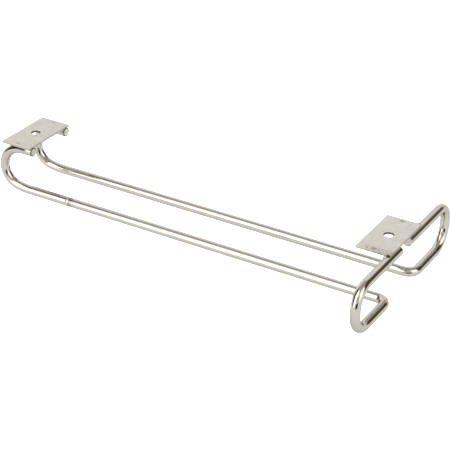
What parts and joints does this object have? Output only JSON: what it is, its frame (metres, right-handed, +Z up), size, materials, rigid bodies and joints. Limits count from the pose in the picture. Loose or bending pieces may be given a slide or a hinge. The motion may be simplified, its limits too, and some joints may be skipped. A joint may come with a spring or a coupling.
{
  "type": "under-shelf hanging rack",
  "caption": "Under-shelf hanging rack of bent polished rod: parallel rails with a slot between, wide front loops, rear hooks and flat screw plates.",
  "frame": {"origin": "midway between the two screw holes, on the top faces of the screw plates, where the rack meets the underside of the shelf", "axes": "+X along the rails to the open front with the wide loops, +Z up into the shelf, +Y across the rack (right-hand side seen from the front is +Y)"},
  "size_m": [0.2805, 0.1282, 0.0352],
  "materials": {
    "polished_rod": "bright nickel-chrome plated steel rod, mirror polished",
    "satin_plate": "plated steel sheet, satin",
    "weld_metal": "plated weld metal, ground, satin"
  },
  "bodies": {
    "root": {"left_rail_wire": "polished_rod", "right_rail_wire": "polished_rod", "left_rear_hook": "polished_rod", "right_rear_hook": "polished_rod", "left_butt_weld": "weld_metal", "right_butt_weld": "weld_metal", "front_plate": "satin_plate", "rear_plate": "satin_plate", "front_plate_welds": "weld_metal", "rear_plate_welds": "weld_metal"}
  },
  "joints": []
}
